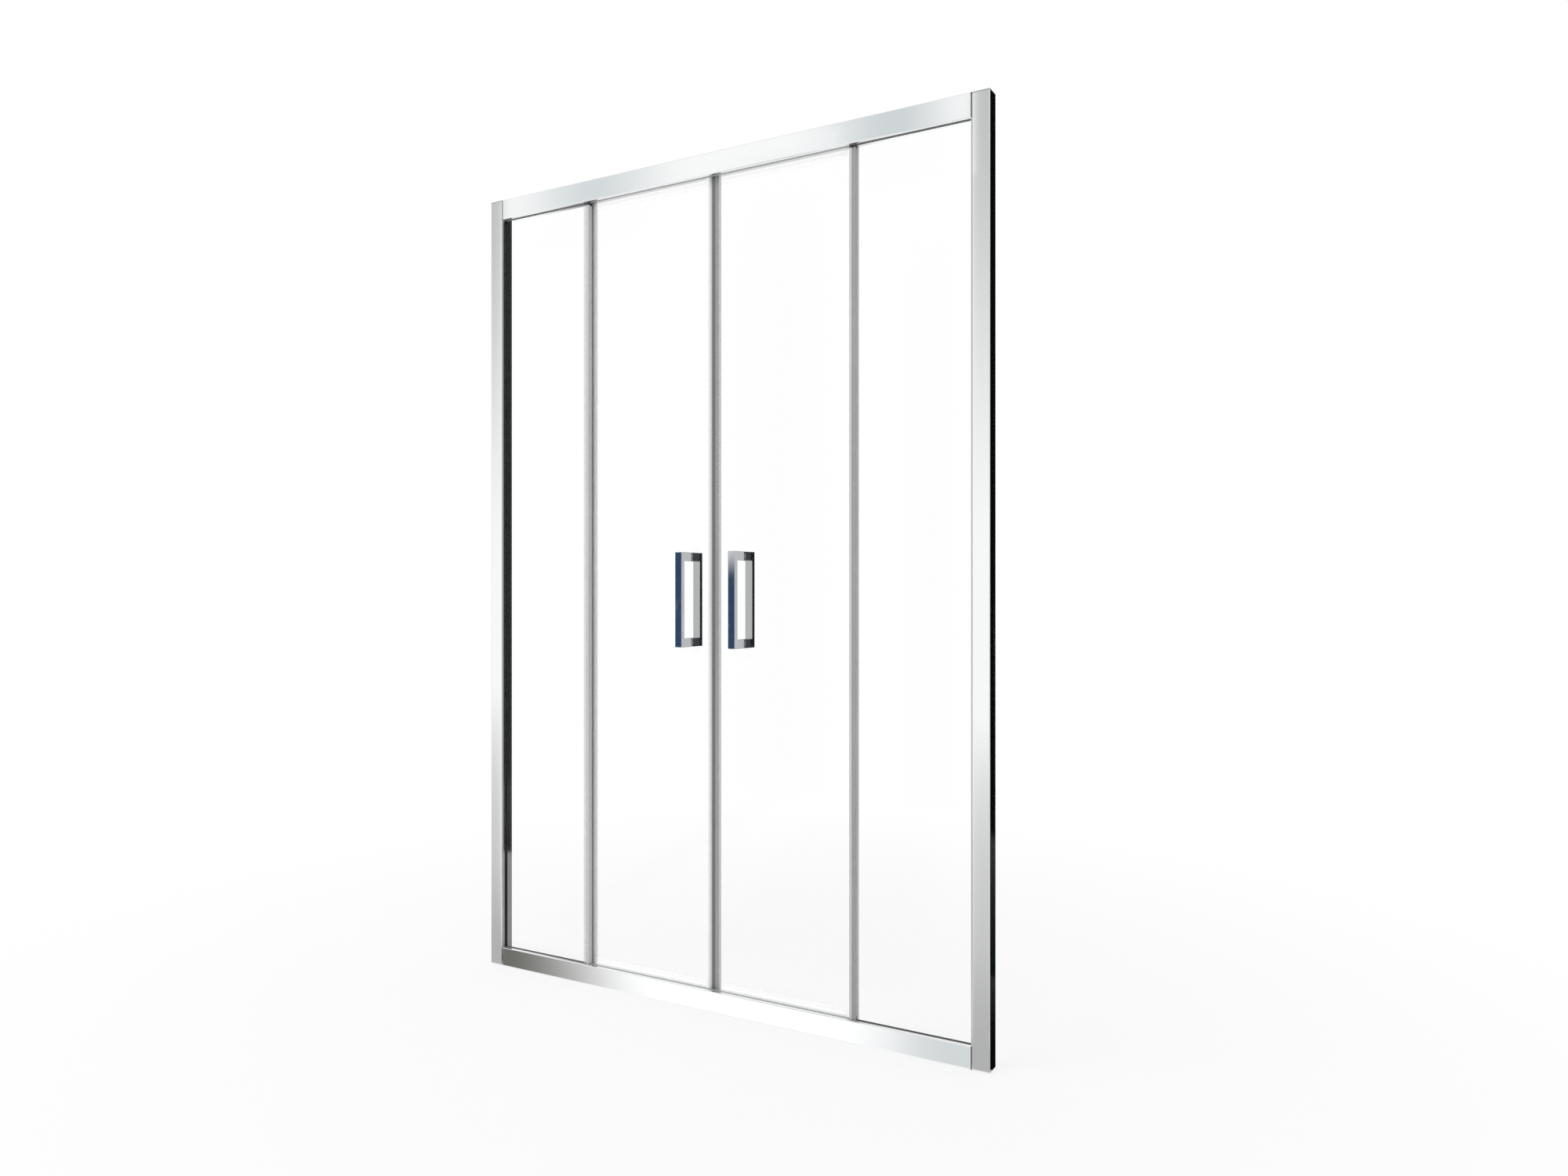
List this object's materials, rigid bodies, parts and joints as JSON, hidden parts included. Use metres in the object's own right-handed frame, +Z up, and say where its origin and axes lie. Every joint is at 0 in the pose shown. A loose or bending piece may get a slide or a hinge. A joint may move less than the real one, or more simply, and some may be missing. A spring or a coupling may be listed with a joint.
{
  "type": "sliding shower door",
  "caption": "Framed sliding shower door: glass panes in a polished frame, with middle panes that roll apart on hidden wheels and close on magnetic seals, with square D handles.",
  "frame": {"origin": "middle of the sill's underside", "axes": "+X along the door to the right as seen from outside, +Y from outside into the shower, +Z up"},
  "size_m": [1.3, 0.083, 1.9],
  "materials": {
    "polished_aluminium": "bright polished, anodised",
    "chrome_handle": "mirror chrome",
    "clear_glass": "clear toughened glass",
    "seal_pvc": "smoky translucent",
    "pale_pvc": "clear, slightly frosted",
    "dark_gasket": "matte black",
    "grey_infill": "satin grey",
    "magnet": "matte ferrite rubber",
    "end_cap": "satin silver grey",
    "stop_rubber": "matte black",
    "clear_washer": "clear",
    "stainless_steel": "turned",
    "wheel_plastic": "smooth white"
  },
  "bodies": {
    "frame": {"header_rail": "polished_aluminium", "sill_rail": "polished_aluminium", "left_wall_channel": "polished_aluminium", "left_frame_post": "polished_aluminium", "right_wall_channel": "polished_aluminium", "right_frame_post": "polished_aluminium", "left_fixed_glass": "clear_glass", "right_fixed_glass": "clear_glass", "left_fixed_edge_seal": "seal_pvc", "right_fixed_edge_seal": "seal_pvc", "left_post_gasket": "dark_gasket", "right_post_gasket": "dark_gasket", "header_gaskets": "dark_gasket", "sill_gaskets": "dark_gasket", "header_infill": "grey_infill", "sill_infill": "grey_infill", "jamb_caps": "end_cap", "rail_end_caps": "end_cap", "door_stops": "stop_rubber", "corner_screws": "stainless_steel", "jamb_screws": "stainless_steel"},
    "left_door": {"left_sliding_glass": "clear_glass", "left_meeting_seal": "seal_pvc", "left_magnet_strip": "magnet", "left_trailing_seal": "seal_pvc", "left_top_splash_strip": "pale_pvc", "left_bottom_splash_strip": "pale_pvc", "left_outer_handle": "chrome_handle", "left_inner_handle": "chrome_handle", "left_handle_studs": "stainless_steel", "left_glass_washers": "clear_washer", "left_roller_studs": "stainless_steel", "left_stud_nuts": "stainless_steel", "left_axle_clips": "stainless_steel"},
    "left_hanging_wheel_1_body": {"left_hanging_wheel_1": "wheel_plastic", "left_wheel_bearing_1": "stainless_steel"},
    "left_guide_wheel_1_body": {"left_guide_wheel_1": "wheel_plastic"},
    "left_hanging_wheel_2_body": {"left_hanging_wheel_2": "wheel_plastic", "left_wheel_bearing_2": "stainless_steel"},
    "left_guide_wheel_2_body": {"left_guide_wheel_2": "wheel_plastic"},
    "right_door": {"right_sliding_glass": "clear_glass", "right_meeting_seal": "seal_pvc", "right_magnet_strip": "magnet", "right_trailing_seal": "seal_pvc", "right_top_splash_strip": "pale_pvc", "right_bottom_splash_strip": "pale_pvc", "right_outer_handle": "chrome_handle", "right_inner_handle": "chrome_handle", "right_handle_studs": "stainless_steel", "right_glass_washers": "clear_washer", "right_roller_studs": "stainless_steel", "right_stud_nuts": "stainless_steel", "right_axle_clips": "stainless_steel"},
    "right_hanging_wheel_1_body": {"right_hanging_wheel_1": "wheel_plastic", "right_wheel_bearing_1": "stainless_steel"},
    "right_guide_wheel_1_body": {"right_guide_wheel_1": "wheel_plastic"},
    "right_hanging_wheel_2_body": {"right_hanging_wheel_2": "wheel_plastic", "right_wheel_bearing_2": "stainless_steel"},
    "right_guide_wheel_2_body": {"right_guide_wheel_2": "wheel_plastic"}
  },
  "joints": [
    {"name": "left_door_slide", "type": "slide", "parent": "frame", "child": "left_door", "axis": [-1, 0, 0], "range_m": [0, 0.25]},
    {"name": "left_hanging_wheel_1_spin", "type": "hinge", "parent": "left_door", "child": "left_hanging_wheel_1_body", "pos_m": [-0.06, 0.014, 1.8757], "axis": [0, 1, 0], "continuous": true},
    {"name": "left_guide_wheel_1_spin", "type": "hinge", "parent": "left_door", "child": "left_guide_wheel_1_body", "pos_m": [-0.06, 0.014, 0.0177], "axis": [0, 1, 0], "continuous": true},
    {"name": "left_hanging_wheel_2_spin", "type": "hinge", "parent": "left_door", "child": "left_hanging_wheel_2_body", "pos_m": [-0.3, 0.014, 1.8757], "axis": [0, 1, 0], "continuous": true},
    {"name": "left_guide_wheel_2_spin", "type": "hinge", "parent": "left_door", "child": "left_guide_wheel_2_body", "pos_m": [-0.3, 0.014, 0.0177], "axis": [0, 1, 0], "continuous": true},
    {"name": "right_door_slide", "type": "slide", "parent": "frame", "child": "right_door", "axis": [1, 0, 0], "range_m": [0, 0.25]},
    {"name": "right_hanging_wheel_1_spin", "type": "hinge", "parent": "right_door", "child": "right_hanging_wheel_1_body", "pos_m": [0.06, 0.014, 1.8757], "axis": [0, 1, 0], "continuous": true},
    {"name": "right_guide_wheel_1_spin", "type": "hinge", "parent": "right_door", "child": "right_guide_wheel_1_body", "pos_m": [0.06, 0.014, 0.0177], "axis": [0, 1, 0], "continuous": true},
    {"name": "right_hanging_wheel_2_spin", "type": "hinge", "parent": "right_door", "child": "right_hanging_wheel_2_body", "pos_m": [0.3, 0.014, 1.8757], "axis": [0, 1, 0], "continuous": true},
    {"name": "right_guide_wheel_2_spin", "type": "hinge", "parent": "right_door", "child": "right_guide_wheel_2_body", "pos_m": [0.3, 0.014, 0.0177], "axis": [0, 1, 0], "continuous": true}
  ],
  "couplings": [
    {"joint": "left_hanging_wheel_1_spin", "follows": "left_door_slide", "rad_per_m": -105.26},
    {"joint": "left_guide_wheel_1_spin", "follows": "left_door_slide", "rad_per_m": -105.26},
    {"joint": "left_hanging_wheel_2_spin", "follows": "left_door_slide", "rad_per_m": -105.26},
    {"joint": "left_guide_wheel_2_spin", "follows": "left_door_slide", "rad_per_m": -105.26},
    {"joint": "right_hanging_wheel_1_spin", "follows": "right_door_slide", "rad_per_m": 105.26},
    {"joint": "right_guide_wheel_1_spin", "follows": "right_door_slide", "rad_per_m": 105.26},
    {"joint": "right_hanging_wheel_2_spin", "follows": "right_door_slide", "rad_per_m": 105.26},
    {"joint": "right_guide_wheel_2_spin", "follows": "right_door_slide", "rad_per_m": 105.26}
  ]
}
